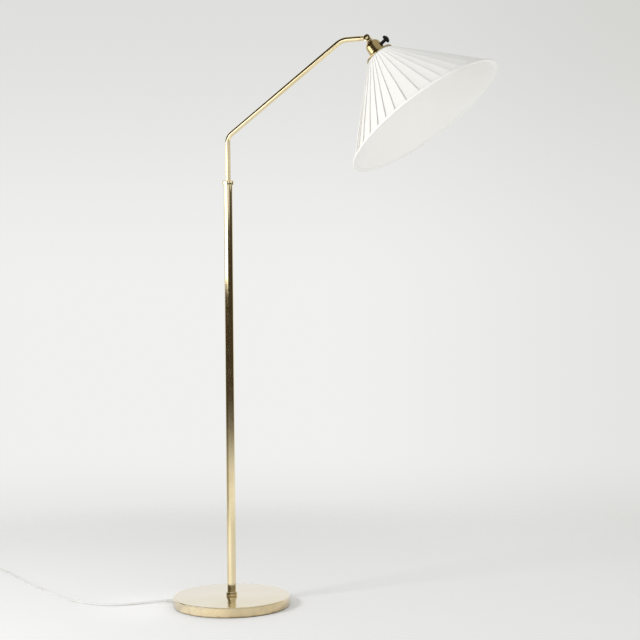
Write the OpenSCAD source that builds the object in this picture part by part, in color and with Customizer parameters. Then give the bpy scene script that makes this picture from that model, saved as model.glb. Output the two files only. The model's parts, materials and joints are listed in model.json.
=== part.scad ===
// Bridge floor lamp: a weighted round base, a telescopic pole, a bent arm that swivels
// on it, and a pleated cone shade that tilts on a knuckle at the arm's end.
// Millimetres, +Z up. The origin is the centre of the base's underside, on the floor.
// The arm reaches along +X, and the shade tilts about Y.

/* [Base] */
// Diameter of the round base
base_dia = 290; // [240:1:360]
// Height of the base above the floor
base_height = 25; // [24:0.5:40]
// Sheet thickness of the spun cover
cover_wall = 1.2; // [0.8:0.1:2]
// Rounding of the cover's top edge
cover_edge = 2.6; // [2.2:0.1:6]
// Gap between the floor and the cover's lower edge
cover_lift = 1.5; // [0.5:0.1:2.5]
// Thickness of the felt under the weight
felt_thick = 3; // [2:0.5:4]
// Diameter of the pocket for the nut, in the weight's underside
pocket_dia = 36; // [30:1:60]
// Depth of that pocket
pocket_depth = 14; // [13.5:0.5:16]
// Outer diameter of the threaded tube that holds pole and base together
nipple_dia = 10; // [9:0.5:12]
// Bore of the threaded tube
nipple_bore = 7.2; // [6:0.1:8]
// Diameter of the ring round the pole's foot
foot_ring_dia = 28; // [25:0.5:40]
// Height of the ring round the pole's foot
foot_ring_height = 9; // [5:0.5:20]

/* [Pole] */
// Outer diameter of the pole
pole_dia = 22; // [20:0.5:24]
// Wall of the pole
pole_wall = 1.2; // [1:0.1:1.6]
// Height of the pole's upper end above the floor
pole_top = 1048; // [800:1:1200]
// Outer diameter of the clamp ring at the pole's upper end
clamp_dia = 28; // [27.5:0.5:36]
// Height of the clamp ring
clamp_height = 10.7; // [10:0.1:16]
// Length of the sleeve of the collet inside the pole
collet_sleeve = 30; // [15:1:60]
// How far the arm can rise from the height shown
rise_travel = 250; // [100:5:300]
// Length of the guide bush that rides on the arm's lower end
guide_length = 40; // [20:1:60]

/* [Arm] */
// Outer diameter of the arm tube
arm_dia = 13; // [12:0.5:14]
// Wall of the arm tube
arm_wall = 1; // [0.8:0.1:1.5]
// Upright run of the arm tube above the clamp ring, up to the lower bend's corner
arm_upright = 109.3; // [105:0.1:300]
// Horizontal distance between the corners of the two bends
arm_reach = 300; // [200:1:400]
// Height difference between the corners of the two bends
arm_rise = 220; // [150:1:300]
// Straight end of the arm tube after the upper bend's corner
arm_nose = 46.5; // [30:0.5:80]
// Centreline radius of the lower bend
lower_bend = 26; // [22:1:60]
// Centreline radius of the upper bend
upper_bend = 48; // [24:1:80]
// Outer diameter of the grooved ferrule on the arm's end
ferrule_dia = 12.4; // [11.5:0.1:14]
// Length of the grooved ferrule
ferrule_length = 9.5; // [8:0.5:16]

/* [Knuckle] */
// Diameter of the two discs of the knuckle
knuckle_dia = 16; // [15:0.5:20]
// Thickness of the knuckle, over both discs
knuckle_thick = 12; // [10:0.5:14]
// Thickness of the friction washer between the discs
friction_thick = 0.8; // [0.5:0.1:1.2]
// Diameter of the screw through the knuckle
screw_dia = 4; // [3:0.5:5]
// Angle of the shade's axis below the horizontal
shade_dip = 54.6; // [40:0.1:75]

/* [Bell] */
// Diameter of the bell's small end at the knuckle
bell_top_dia = 18; // [17:0.5:22]
// Length of the bell along its axis
bell_length = 33; // [32:0.5:40]
// Outer diameter of the bell's mouth
bell_mouth_dia = 42; // [41:0.5:46]
// Radius of the bell's round shoulder
bell_shoulder = 15; // [13:0.5:16]
// Length of the bell's conical neck along its axis
bell_neck = 6; // [5:0.5:8]
// Sheet thickness of the bell
bell_wall = 1; // [0.8:0.1:1.2]
// Outer diameter of the brim that covers the shade's top edge
brim_dia = 73; // [66:0.5:84]
// Drop of the brim's shallow cone
brim_drop = 7.5; // [6:0.5:12]
// Height of the brim's straight lip
brim_lip = 3.5; // [2.5:0.5:6]
// Sheet thickness of the brim
brim_wall = 1; // [0.8:0.1:1.4]

/* [Shade] */
// Outer diameter of the shade's rim
rim_dia = 414; // [300:1:500]
// Height of the shade from the brim's lip to the rim, along its axis
shade_height = 191.7; // [150:0.1:260]
// Number of pleats
pleat_count = 40; // [24:1:60]
// Height of a pleat's fold at the rim
pleat_rim = 2.6; // [1.5:0.1:4]
// Height of a pleat's fold at the top
pleat_top = 0.6; // [0.4:0.1:1]
// Thickness of the cloth under the folds
cloth_thick = 0.9; // [0.6:0.1:1.5]
// How far the shade's side swells out halfway down
shade_belly = 1.6; // [0:0.1:4]
// Diameter of the frame's two rings
wire_dia = 3; // [2.6:0.1:4]
// Diameter of the frame's ribs and arms
rib_dia = 2.2; // [1.6:0.1:2.4]
// Number of ribs in the frame
rib_count = 6; // [4:1:12]
// Thickness of the lining
lining_thick = 0.8; // [0.6:0.1:1.5]
// Height of the binding on the rim
binding_height = 2; // [1.5:0.1:4]

/* [Lampholder and bulb] */
// Diameter of the lampholder's threaded skirt
skirt_dia = 39.5; // [39:0.1:39.8]
// Length of the lampholder's skirt below the bell's mouth
skirt_length = 33; // [30:0.5:40]
// Diameter of the bulb's screw cap
cap_dia = 26.2; // [26:0.1:26.4]
// Diameter of the bulb's round glass
bulb_dia = 60; // [45:1:70]
// Length of the bulb from its contact to its tip
bulb_length = 105; // [98:1:115]

/* [Switch knob] */
// Diameter of the knob
knob_dia = 20; // [16:0.5:26]
// Thickness of the knob
knob_thick = 10; // [8:0.5:14]
// Diameter of the knob's neck
knob_neck_dia = 8; // [7:0.5:9]
// Length of the knob's neck outside the bell
knob_neck = 10.5; // [8:0.5:16]
// Distance of the knob's hole from the knuckle's pivot, along the shade's axis
knob_place = 33; // [31:0.5:34]
// Lean of the knob towards the knuckle
knob_lean = 6; // [0:1:10]
// Number of flutes round the knob
flute_count = 12; // [8:1:20]

/* [Cord] */
// Diameter of the mains cord
cord_dia = 6; // [5:0.5:7]
// Diameter of the lead inside the lamp
lead_dia = 4.8; // [4:0.1:5.2]
// Height of the cord's exit above the floor
exit_height = 7.5; // [7.5:0.1:8]
// Direction in which the cord leaves the base, from +X
exit_angle = 190; // [170:1:220]
// Length of the cord's bush outside the base
bush_length = 24; // [20:1:40]
// Loops in the stored coil of cord, in two layers
coil_loops = 5.5; // [3.5:1:7.5]
// Mean radius of the coil's innermost loop
coil_inner = 27; // [24:0.5:40]

/* [Hidden] */
$fn = 72;

// Gap between pieces that are pushed together by hand, and between a shaft and its bore
loose_gap = 0.3;
running_gap = 0.05;

// Base
base_r = base_dia / 2;
weight_r = base_r - cover_wall - loose_gap;
weight_top = base_height - cover_wall;
weight_bevel = cover_edge;
felt_inset = 1;
nipple_r = nipple_dia / 2;
pocket_top = felt_thick + pocket_depth;
washer_r = nipple_r + 7;
washer_thick = 1.5;
nut_width = nipple_dia + 5;
nut_height = 4.5;
nipple_bottom = pocket_top - washer_thick - nut_height;
groove_width = 9;
groove_top = exit_height + groove_width / 2;
foot_plug_height = 20;
nipple_top = base_height + 18;

// Pole and clamp
pole_r = pole_dia / 2;
pole_bore = pole_r - pole_wall;
arm_r = arm_dia / 2;
sleeve_r = pole_bore - running_gap;
collet_bore = arm_r + running_gap;
collet_flange = 1.2;
neck_r = pole_r - 1.4;
neck_top = 5.6;
finger_top = clamp_height - 1.9;
finger_r = neck_r - 1.7;
slit_width = 1.2;
clamp_r = clamp_dia / 2;
clamp_lip = 1.5;
clamp_hole = arm_r + loose_gap;
clamp_top = pole_top + clamp_height;

// Arm: the centreline runs up, bends over to the slope, and bends back to horizontal
slope = atan2(arm_rise, arm_reach);
lower_corner = clamp_top + arm_upright;
arm_height = lower_corner + arm_rise;
lower_bend_start = lower_corner - lower_bend * tan((90 - slope) / 2);
upper_bend_end = arm_reach + upper_bend * tan(slope / 2);
slope_from = [lower_bend * (1 - sin(slope)), lower_bend_start + lower_bend * cos(slope)];
slope_to = [upper_bend_end - upper_bend * sin(slope), arm_height - upper_bend * (1 - cos(slope))];
arm_end = arm_reach + arm_nose;
arm_bore = arm_r - arm_wall;
bend_neck = 0.03;
bend_lap = 0.3;
guide_ring_height = 5;
stop_gap = 5;
guide_bottom = pole_top - collet_sleeve - rise_travel - stop_gap - guide_ring_height - guide_length;
arm_bottom = guide_bottom - loose_gap - guide_ring_height;
guide_ring_r = pole_bore - 0.8;

// Knuckle: the pivot lies on the arm's axis, and the shade's axis passes through it
knuckle_r = knuckle_dia / 2;
knuckle_gap = 0.5;
ferrule_end = arm_end + ferrule_length;
knuckle_x = ferrule_end + knuckle_gap + knuckle_r;
disc_out = knuckle_thick / 2;
screw_r = screw_dia / 2;
screw_head_r = 3.6;
screw_head_height = 1.8;
spigot_r = 4;
spigot_length = 7;

// Distances along the shade's axis are measured from the knuckle's pivot
bell_top = knuckle_r + 2;
bell_mouth = bell_top + bell_length;
bell_mouth_r = bell_mouth_dia / 2;
arc_r = bell_top_dia / 2 + bell_neck - bell_shoulder * sin(45);
arc_s = bell_top + bell_neck + bell_shoulder * cos(45);
bell_spigot_r = 5;
bell_nut_height = 4;

// Brim
brim_r = brim_dia / 2;
brim_slope = brim_drop / (brim_r - bell_mouth_r);
brim_knee = bell_mouth_r - brim_wall * (sqrt(1 + brim_slope * brim_slope) - 1) / brim_slope;
brim_end = bell_mouth + brim_drop + brim_lip;
skirt_r = skirt_dia / 2;
fitter_thick = 1.5;
shade_ring_r = bell_mouth_r + 4;
fitter_r = shade_ring_r + 4.5;
shade_ring_end = bell_mouth + 11;

// Shade
shade_top_r = brim_r - brim_wall - 0.5;
rim_r = rim_dia / 2;
rim = brim_end + shade_height;
shade_slope = (rim_r - shade_top_r) / shade_height;
cover_from = brim_end - 1.5;
cover_to = rim - binding_height;
pleat_turn = 360 / pleat_count;
first_pleat = 2.6;
wire_r = wire_dia / 2;
rib_r = rib_dia / 2;
cloth_gap = 0.1;
back_slope = shade_slope - (pleat_rim - pleat_top) / shade_height;
back_angle = atan(back_slope);
wire_step = (wire_r + cloth_gap) / cos(back_angle);
top_wire = brim_end + 1.5;
rim_wire = cover_to - wire_r - 0.5;
lining_from = top_wire;

// Lampholder and bulb
holder_r = bell_mouth_r - 4;
holder_neck_r = 7.5;
holder_neck = bell_top + bell_wall + bell_nut_height;
holder_top = holder_neck + 6;
bell_spigot_end = holder_top + 1;
holder_joint = holder_top + 17;
skirt_from = bell_mouth - 1.5;
skirt_end = bell_mouth + skirt_length;
cap_r = cap_dia / 2;
shell_gap = 0.2;
shell_wall = 0.6;
socket_r = cap_r + shell_gap + shell_wall;
socket_floor = skirt_end - 25;
contact_thick = 1;
cap_height = 22;
tip_height = 2.5;
bulb_from = socket_floor + contact_thick;
glass_from = bulb_from + tip_height + cap_height;
bulb_r = bulb_dia / 2;
bulb_centre = bulb_from + bulb_length - bulb_r;
glass_neck_r = cap_r - 0.6;
glass_wall = 0.8;

// Switch knob: distances along its own axis start on the bell's surface
knob_r = knob_dia / 2;
knob_neck_r = knob_neck_dia / 2;
knob_seat = 20.1;
spindle_r = 2;
spindle_depth = 17;
neck_inside = 2;
knob_top = knob_neck + knob_thick;
flute_r = 1.6;

// Cord: the points of its route on the floor, chosen by hand
cord_r = cord_dia / 2;
lead_r = lead_dia / 2;
lead_bend = 5.5;
bush_inside = 14;
exit_out = [cos(exit_angle), sin(exit_angle), 0];
exit_point = (base_r + bush_length) * exit_out + [0, 0, exit_height];
coil_centre = [-880, 244, 0];
coil_pitch = cord_dia + 0.6;
coil_start = 53.13;
coil_half = coil_loops / 2;
coil_in_dir = [-0.8, 0.6, 0];
ROUTE = [
    exit_point,
    exit_point + 12 * exit_out - [0, 0, 0.5],
    [-205, -43, 4.6],
    [-228, -58, 3.3],
    [-252, -75, 3],
    [-282, -90, 3],
    [-316, -94, 3],
    [-348, -89, 3],
    [-380, -81, 3],
    [-416, -67, 3],
    [-450, -44, 3],
    [-482, -18, 3],
    [-517, 9, 3],
    [-569, 47, 3],
    [-622, 88, 3],
    [-688, 144, 3],
    [-757, 206, 3],
    [-818, 253, 3],
    coil_point(0) - 20 * coil_in_dir,
    coil_point(0) - cord_dia * coil_in_dir
];
plug_dir = [0.8, -0.6, 0];
plug_height = 13.7;
plug_from = [-866, 177.5, plug_height / 2];
PLUG_ROUTE = [
    coil_point(coil_loops) + cord_dia * plug_dir,
    coil_point(coil_loops) + 2 * cord_dia * plug_dir,
    [-886, 192.5, 8.3],
    plug_from - cord_dia * plug_dir,
    plug_from
];

// Plug
plug_length = 36;
plug_width = 35;
plug_tail = 13;
plug_grip = 12;
pin_r = 2;
pin_length = 19;
pin_spacing = 19;

// ---- helpers ----

// Half outline of a disc whose top edge is rounded
module disc_outline(r, h, edge) {
    square([r - edge, h]);
    square([r, h - edge]);
    translate([r - edge, h - edge]) circle(edge);
}

// Half outline of a ring whose outer edges are rounded
module ring_outline(r_in, r_out, h, edge) {
    translate([r_in, 0]) square([r_out - edge - r_in, h]);
    translate([r_in, edge]) square([r_out - r_in, h - 2 * edge]);
    translate([r_out - edge, edge]) circle(edge);
    translate([r_out - edge, h - edge]) circle(edge);
}

module hexagon_prism(width, h) {
    cylinder(d = width / cos(30), h = h, $fn = 6);
}

// Catmull-Rom curve through hand-chosen points
function blend(a, b, c, d, t) =
    0.5 * (2 * b + (c - a) * t + (2 * a - 5 * b + 4 * c - d) * t * t + (3 * b - a - 3 * c + d) * t * t * t);
function curve(p, steps) = [
    for (i = [0 : len(p) - 2], k = [0 : steps - 1])
        blend(p[max(i - 1, 0)], p[i], p[i + 1], p[min(i + 2, len(p) - 1)], k / steps),
    p[len(p) - 1]
];
function unit(v) = v / norm(v);
function along(p, i) = unit(p[min(i + 1, len(p) - 1)] - p[max(i - 1, 0)]);

// Round tube along a list of points that lies nearly flat
module flat_tube(p, r, sides) {
    rings = [
        for (i = [0 : len(p) - 1])
            let (t = along(p, i), side = unit(cross([0, 0, 1], t)), up = cross(t, side))
            for (k = [0 : sides - 1])
                p[i] + r * (cos(360 * k / sides) * side + sin(360 * k / sides) * up)
    ];
    walls = [
        for (i = [0 : len(p) - 2], k = [0 : sides - 1])
            let (a = i * sides + k, b = i * sides + (k + 1) % sides)
            each [[a, a + sides, b + sides], [a, b + sides, b]]
    ];
    ends = [[for (k = [0 : sides - 1]) k], [for (k = [sides - 1 : -1 : 0]) (len(p) - 1) * sides + k]];
    polyhedron(points = rings, faces = concat(walls, ends), convexity = 10);
}

// ---- base ----

module base_felt() {
    color("dimgray") cylinder(r = weight_r - felt_inset, h = felt_thick);
}

module base_weight() {
    color("darkslategray") difference() {
        translate([0, 0, felt_thick]) union() {
            cylinder(r = weight_r, h = weight_top - felt_thick - weight_bevel);
            translate([0, 0, weight_top - felt_thick - weight_bevel])
                cylinder(r1 = weight_r, r2 = weight_r - weight_bevel, h = weight_bevel);
        }
        translate([0, 0, -1]) cylinder(r = nipple_r + loose_gap, h = base_height);
        translate([0, 0, -1]) cylinder(d = pocket_dia, h = pocket_top + 1);
        rotate([0, 0, exit_angle]) translate([0, -groove_width / 2, -1])
            cube([base_r, groove_width, groove_top + 1]);
    }
}

module base_cover() {
    color("gold") difference() {
        rotate_extrude() difference() {
            translate([0, cover_lift]) disc_outline(base_r, base_height - cover_lift, cover_edge);
            disc_outline(base_r - cover_wall, weight_top, cover_edge - cover_wall);
        }
        cylinder(r = nipple_r + loose_gap, h = base_height + 1);
        rotate([0, 0, exit_angle]) translate([base_r - 5, 0, exit_height]) rotate([0, 90, 0])
            cylinder(r = groove_width / 2 - 0.2, h = 10);
    }
}

module base_washer() {
    color("silver") translate([0, 0, pocket_top - washer_thick]) difference() {
        cylinder(r = washer_r, h = washer_thick);
        translate([0, 0, -1]) cylinder(r = nipple_r + 0.1, h = washer_thick + 2);
    }
}

module base_nut() {
    color("silver") translate([0, 0, pocket_top - washer_thick - nut_height]) difference() {
        hexagon_prism(nut_width, nut_height);
        translate([0, 0, -1]) cylinder(r = nipple_r + running_gap, h = nut_height + 2);
    }
}

module stem_nipple() {
    color("silver") difference() {
        translate([0, 0, nipple_bottom]) cylinder(r = nipple_r, h = nipple_top - nipple_bottom);
        translate([0, 0, nipple_bottom - 1]) cylinder(d = nipple_bore, h = nipple_top - nipple_bottom + 2);
    }
}

module foot_ring() {
    color("gold") translate([0, 0, base_height]) rotate_extrude()
        ring_outline(pole_r + running_gap, foot_ring_dia / 2, foot_ring_height, 0.8);
}

// ---- pole ----

module pole_tube() {
    color("gold") translate([0, 0, base_height]) difference() {
        cylinder(r = pole_r, h = pole_top - base_height);
        translate([0, 0, -1]) cylinder(r = pole_bore, h = pole_top - base_height + 2);
    }
}

module foot_plug() {
    color("gold") translate([0, 0, base_height]) difference() {
        cylinder(r = sleeve_r, h = foot_plug_height);
        translate([0, 0, -1]) cylinder(r = nipple_r + running_gap, h = foot_plug_height + 2);
    }
}

// Split chuck: a sleeve in the pole, a flange on its end, a threaded neck and slit fingers
module collet() {
    color("gold") translate([0, 0, pole_top]) difference() {
        union() {
            translate([0, 0, -collet_sleeve]) cylinder(r = sleeve_r, h = collet_sleeve);
            cylinder(r = pole_r, h = collet_flange);
            cylinder(r = neck_r, h = neck_top);
            translate([0, 0, neck_top]) cylinder(r1 = neck_r, r2 = finger_r, h = finger_top - neck_top);
        }
        translate([0, 0, -collet_sleeve - 1]) cylinder(r = collet_bore, h = collet_sleeve + clamp_height);
        for (turn = [0, 90])
            rotate([0, 0, turn]) translate([-pole_r, -slit_width / 2, collet_flange + 0.8])
                cube([pole_dia, slit_width, clamp_height]);
    }
}

module clamp_ring() {
    color("gold") translate([0, 0, pole_top]) difference() {
        rotate_extrude() ring_outline(clamp_hole, clamp_r, clamp_height, 0.6);
        translate([0, 0, -1]) cylinder(r = pole_r + loose_gap, h = 1 + collet_flange + loose_gap);
        cylinder(r = neck_r + running_gap, h = neck_top);
        translate([0, 0, neck_top])
            cylinder(r1 = neck_r + running_gap, r2 = finger_r + loose_gap, h = clamp_height - clamp_lip - neck_top);
    }
}

module guide_bush() {
    color("white") translate([0, 0, guide_bottom]) difference() {
        cylinder(r = pole_bore - running_gap, h = guide_length);
        translate([0, 0, -1]) cylinder(r = collet_bore, h = guide_length + 2);
        translate([0, 0, guide_length / 3]) difference() {
            cylinder(r = pole_bore + 1, h = guide_length / 3);
            cylinder(r = pole_bore - 0.8, h = guide_length / 3);
        }
    }
}

// ---- arm ----

// A bend in the XZ plane, from one angle to another. The tube necks down a little round it,
// and its ends lap into the straight runs
module bend(bend_r, r, from, to) {
    lap = bend_lap / bend_r * 180 / PI;
    rotate([90, 0, 0]) rotate([0, 0, from - lap]) rotate_extrude(angle = to - from + 2 * lap)
        translate([bend_r, 0]) circle(r - bend_neck);
}

// Solid of radius r along the arm's centreline; extra lengthens it at both ends
module arm_run(r, extra) {
    translate([0, 0, arm_bottom - extra]) cylinder(r = r, h = lower_bend_start - arm_bottom + extra);
    translate([lower_bend, 0, lower_bend_start]) bend(lower_bend, r, 90 + slope, 180);
    translate([slope_from[0], 0, slope_from[1]]) rotate([0, 90 - slope, 0])
        cylinder(r = r, h = norm(slope_to - slope_from));
    translate([upper_bend_end, 0, arm_height - upper_bend]) bend(upper_bend, r, 90, 90 + slope);
    translate([upper_bend_end, 0, arm_height]) rotate([0, 90, 0])
        cylinder(r = r, h = arm_end - upper_bend_end + extra);
}

module arm_tube() {
    color("gold") difference() {
        arm_run(arm_r, 0);
        arm_run(arm_bore, 1);
    }
}

// Two rings on the arm tube that keep the guide bush in its place
module guide_rings() {
    color("silver") for (z = [arm_bottom, guide_bottom + guide_length + loose_gap])
        translate([0, 0, z]) difference() {
            cylinder(r = guide_ring_r, h = guide_ring_height);
            translate([0, 0, -1]) cylinder(r = arm_r, h = guide_ring_height + 2);
        }
}

module arm_ferrule() {
    groove = ferrule_length / 8;
    color("gold") translate([arm_end, 0, arm_height]) rotate([0, 90, 0]) difference() {
        union() {
            translate([0, 0, -spigot_length]) cylinder(r = arm_bore - running_gap, h = spigot_length);
            cylinder(d = ferrule_dia, h = ferrule_length);
        }
        for (k = [2, 5]) translate([0, 0, k * groove]) difference() {
            cylinder(d = ferrule_dia + 2, h = groove);
            cylinder(d = ferrule_dia - 1.6, h = groove);
        }
        translate([0, 0, -spigot_length - 1]) cylinder(r = spigot_r, h = spigot_length + ferrule_length + 2);
    }
}

// ---- knuckle ----

module at_knuckle() {
    translate([knuckle_x, 0, arm_height]) children();
}

// Frame of the head: +Z runs from the pivot down the shade's axis, -X is its upper side
module in_head() {
    at_knuckle() rotate([0, 90 + shade_dip, 0]) children();
}

// One cheek of the knuckle: a disc on the pivot and a neck along +Z, on the side of +Y
module knuckle_cheek(neck_r, neck_length, pin_hole) {
    difference() {
        union() {
            translate([0, disc_out, 0]) rotate([90, 0, 0])
                cylinder(r = knuckle_r, h = disc_out - friction_thick / 2);
            intersection() {
                cylinder(r = neck_r, h = neck_length);
                translate([-neck_r, friction_thick / 2, 0])
                    cube([2 * neck_r, disc_out - friction_thick / 2, neck_length]);
            }
        }
        translate([0, disc_out + 1, 0]) rotate([90, 0, 0]) cylinder(r = pin_hole, h = disc_out + 2);
    }
}

module arm_knuckle() {
    color("gold") at_knuckle() rotate([0, -90, 0]) union() {
        knuckle_cheek(ferrule_dia / 2, knuckle_r + knuckle_gap, screw_r + running_gap);
        translate([0, 0, knuckle_r + knuckle_gap])
            cylinder(r = spigot_r - running_gap, h = ferrule_length + spigot_length);
    }
}

module head_knuckle() {
    shoulder = knuckle_r + knuckle_gap;
    color("gold") in_head() difference() {
        union() {
            mirror([0, 1, 0]) knuckle_cheek(knuckle_r, shoulder, screw_r);
            translate([0, 0, shoulder]) cylinder(r = knuckle_r, h = bell_top - shoulder);
            translate([0, 0, shoulder]) cylinder(r = bell_spigot_r, h = bell_spigot_end - shoulder);
        }
        translate([0, 0, shoulder + 1]) cylinder(r = lead_r + running_gap, h = bell_spigot_end);
    }
}

module friction_washer() {
    color("saddlebrown") at_knuckle() rotate([90, 0, 0]) difference() {
        translate([0, 0, running_gap - friction_thick / 2])
            cylinder(r = knuckle_r - 0.6, h = friction_thick - running_gap);
        translate([0, 0, -2]) cylinder(r = screw_r + 0.1, h = 4);
    }
}

// Slotted screw that stays with the shade's side of the knuckle
module knuckle_screw() {
    ball_r = (screw_head_r * screw_head_r + screw_head_height * screw_head_height) / (2 * screw_head_height);
    color("gold") at_knuckle() rotate([90, 0, 0]) difference() {
        union() {
            translate([0, 0, -disc_out - 3]) cylinder(r = screw_r, h = 2 * disc_out + 3);
            intersection() {
                translate([0, 0, disc_out]) cylinder(r = screw_head_r, h = screw_head_height);
                translate([0, 0, disc_out + screw_head_height - ball_r]) sphere(ball_r);
            }
        }
        translate([-0.4, -screw_head_r, disc_out + 1]) cube([0.8, 2 * screw_head_r, 2]);
    }
}

module knuckle_nut() {
    color("gold") at_knuckle() translate([0, disc_out + running_gap, 0]) rotate([-90, 0, 0]) difference() {
        hexagon_prism(7, 2.6);
        translate([0, 0, -1]) cylinder(r = screw_r, h = 5);
    }
}

// ---- bell and brim ----

// Half outline of the bell, moved in by inset: conical neck, round shoulder, flared skirt
module bell_outline(inset) {
    r = bell_shoulder - inset;
    to_mouth = [bell_mouth_r - inset - arc_r, bell_mouth - arc_s];
    meet = atan2(to_mouth[1], to_mouth[0]) - acos(r / norm(to_mouth));
    intersection() {
        union() {
            polygon([
                [0, bell_top + inset],
                [bell_top_dia / 2 + inset * (1 - sqrt(2)), bell_top + inset],
                [arc_r + r * cos(45), arc_s - r * sin(45)],
                [arc_r + r * cos(meet), arc_s + r * sin(meet)],
                [bell_mouth_r - inset, bell_mouth],
                [0, bell_mouth]
            ]);
            translate([arc_r, arc_s]) circle(r);
        }
        square([bell_mouth_r, bell_mouth]);
    }
}

module bell() {
    color("goldenrod") in_head() difference() {
        rotate_extrude() difference() {
            bell_outline(0);
            bell_outline(bell_wall);
            translate([0, bell_mouth - 0.01]) square([bell_mouth_r - bell_wall, 1]);
        }
        translate([0, 0, bell_top - 1]) cylinder(r = bell_spigot_r + 0.1, h = 4);
        at_knob() translate([0, 0, -3]) cylinder(r = knob_neck_r + loose_gap, h = 6);
    }
}

module bell_nut() {
    color("silver") in_head() translate([0, 0, bell_top + bell_wall]) difference() {
        hexagon_prism(14, bell_nut_height);
        translate([0, 0, -1]) cylinder(r = bell_spigot_r + running_gap, h = bell_nut_height + 2);
    }
}

// Height of the brim's underside at a radius
function under_brim(r) =
    bell_mouth + max(brim_wall, brim_wall * sqrt(1 + brim_slope * brim_slope) + brim_slope * (r - bell_mouth_r));

module shade_brim() {
    color("goldenrod") in_head() rotate_extrude() polygon([
        [skirt_r + 0.15, bell_mouth],
        [bell_mouth_r, bell_mouth],
        [brim_r, bell_mouth + brim_drop],
        [brim_r, brim_end],
        [brim_r - brim_wall, brim_end],
        [brim_r - brim_wall, under_brim(brim_r - brim_wall)],
        [brim_knee, bell_mouth + brim_wall],
        [skirt_r + 0.15, bell_mouth + brim_wall]
    ]);
}

// Threaded ring that clamps the shade's fitter under the brim
module shade_ring() {
    from = bell_mouth + brim_wall + fitter_thick;
    color("dimgray") in_head() rotate_extrude() polygon([
        [skirt_r + running_gap, from],
        [brim_knee, from],
        [shade_ring_r, under_brim(shade_ring_r) + fitter_thick],
        [shade_ring_r, shade_ring_end],
        [skirt_r + running_gap, shade_ring_end]
    ]);
}

// ---- shade ----

// Radius of the pleats' folded edges, and of the cloth's back, at a distance along the axis
function down(s) = (s - brim_end) / shade_height;
function fold_r(s) = shade_top_r + shade_slope * (s - brim_end);
function fold_height(s) = pleat_top + (pleat_rim - pleat_top) * down(s);
function back_r(s) = fold_r(s) - fold_height(s) - cloth_thick;
function wire_at(s) = back_r(s) - wire_step;
function lining_r(s) = back_r(s) - 2 * wire_step;

// A pleat's section: how far round its own pitch, and how high on its fold. It swells up
// to its folded edge, and tucks back under it to where the next pleat starts
PLEAT = [[0.07, 0], [0.3, 0.42], [0.62, 0.74], [0.9, 0.96], [1, 1], [1.02, 0.7], [0.96, 0.12]];
function pleat_edge(i) = first_pleat + pleat_turn * i + sin(70 * i - 15) * pleat_turn / 9;
function belly(s) = shade_belly * sin(180 * max(0, min(1, down(s))));

module shade_cover() {
    bands = 6;
    n = len(PLEAT);
    around = pleat_count * n;
    levels = [for (k = [0 : bands]) cover_from + (cover_to - cover_from) * k / bands];
    turns = [
        for (i = [0 : pleat_count - 1], p = PLEAT)
            pleat_edge(i) + p[0] * (pleat_edge((i + 1) % pleat_count) + (i + 1 < pleat_count ? 0 : 360) - pleat_edge(i))
    ];
    front = [
        for (s = levels, j = [0 : around - 1])
            let (r = fold_r(s) + belly(s) - fold_height(s) * (1 - PLEAT[j % n][1]))
            [r * cos(turns[j]), -r * sin(turns[j]), s]
    ];
    back = [
        for (s = [cover_from, cover_to], j = [0 : around - 1])
            [back_r(s) * cos(turns[j]), -back_r(s) * sin(turns[j]), s]
    ];
    b = len(front);
    top = bands * around;
    faces = [
        for (k = [0 : bands - 1], j = [0 : around - 1])
            let (p = k * around + j, q = k * around + (j + 1) % around)
            each [[p, p + around, q + around], [p, q + around, q]],
        for (j = [0 : around - 1])
            let (q = (j + 1) % around)
            each [
                [b + j, b + q, b + around + q], [b + j, b + around + q, b + around + j],
                [j, q, b + q], [j, b + q, b + j],
                [top + j, b + around + j, b + around + q], [top + j, b + around + q, top + q]
            ]
    ];
    color("ivory") in_head() polyhedron(points = concat(front, back), faces = faces, convexity = 10);
}

module shade_lining() {
    wall = lining_thick / cos(back_angle);
    color("linen") in_head() rotate_extrude() polygon([
        [lining_r(lining_from) - wall, lining_from],
        [lining_r(lining_from), lining_from],
        [lining_r(cover_to), cover_to],
        [lining_r(cover_to) - wall, cover_to]
    ]);
}

// Wire frame: a dished fitter ring, three short arms, two rings and the ribs between them
module shade_frame() {
    arm_from = [fitter_r - rib_r, under_brim(fitter_r - rib_r) + fitter_thick / 2];
    arm_to = [wire_at(top_wire), top_wire];
    arm_turn = atan2(arm_to[0] - arm_from[0], arm_to[1] - arm_from[1]);
    color("silver") in_head() union() {
        rotate_extrude() polygon([
            [skirt_r + loose_gap, bell_mouth + brim_wall],
            [brim_knee, bell_mouth + brim_wall],
            [fitter_r, under_brim(fitter_r)],
            [fitter_r, under_brim(fitter_r) + fitter_thick],
            [brim_knee, bell_mouth + brim_wall + fitter_thick],
            [skirt_r + loose_gap, bell_mouth + brim_wall + fitter_thick]
        ]);
        for (turn = [0, 120, 240]) rotate([0, 0, turn]) translate([arm_from[0], 0, arm_from[1]])
            rotate([0, arm_turn, 0]) cylinder(r = rib_r, h = norm(arm_to - arm_from));
        for (s = [top_wire, rim_wire]) translate([0, 0, s])
            rotate_extrude() translate([wire_at(s), 0]) circle(wire_r);
        for (i = [0 : rib_count - 1]) rotate([0, 0, (i + 0.5) * 360 / rib_count])
            translate([wire_at(top_wire), 0, top_wire]) rotate([0, back_angle, 0])
                cylinder(r = rib_r, h = (rim_wire - top_wire) / cos(back_angle));
    }
}

module rim_binding() {
    inner = lining_r(cover_to) - lining_thick / cos(back_angle) - 0.6;
    color("ivory") in_head() translate([0, 0, cover_to]) rotate_extrude() difference() {
        translate([inner, 0]) square([rim_r - inner, binding_height]);
        translate([rim_r - 0.7, binding_height - 0.7]) difference() {
            square(1);
            circle(0.7);
        }
    }
}

// ---- lampholder and bulb ----

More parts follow.
